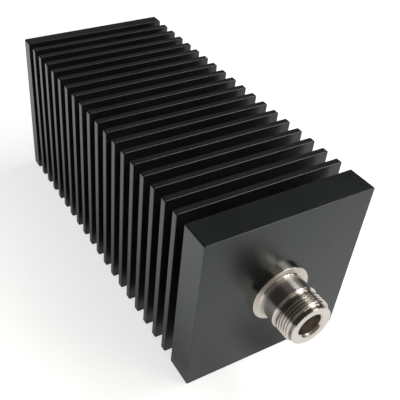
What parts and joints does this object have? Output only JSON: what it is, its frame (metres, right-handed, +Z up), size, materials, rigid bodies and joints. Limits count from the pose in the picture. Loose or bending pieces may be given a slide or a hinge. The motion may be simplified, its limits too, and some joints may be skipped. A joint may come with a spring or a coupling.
{
  "type": "rf dummy load",
  "caption": "Square finned aluminium bar that turns radio-frequency power from its threaded coaxial jack into heat.",
  "frame": {"origin": "on the ground under the middle of the object's box", "axes": "+Z up, +Y along the bar from the jack's nose to the rear slab, +X to the right seen from the front"},
  "size_m": [0.06, 0.1528, 0.06],
  "materials": {
    "black_anodised": "satin black anodised, fine turned grain",
    "nickel_plate": "bright nickel plate on turned brass",
    "gold_plate": "gold plate on copper alloy",
    "ptfe": "white, waxy",
    "copper": "turned and milled bare copper",
    "nickel_on_copper": "matte nickel plate",
    "ceramic": "ground ceramic",
    "ceramic_lid": "pressed ceramic",
    "silver_plate": "silver plate on copper strip",
    "steel": "plain stainless",
    "spring_steel": "dull zinc"
  },
  "bodies": {
    "root": {"heatsink": "black_anodised", "connector_body": "nickel_plate", "centre_contact": "gold_plate", "contact_bead": "ptfe", "load_carrier": "copper", "resistor_flange": "nickel_on_copper", "resistor_chip": "ceramic", "resistor_cover": "ceramic_lid", "resistor_lead": "silver_plate", "resistor_screw": "steel", "spring_washer": "spring_steel"}
  },
  "joints": []
}
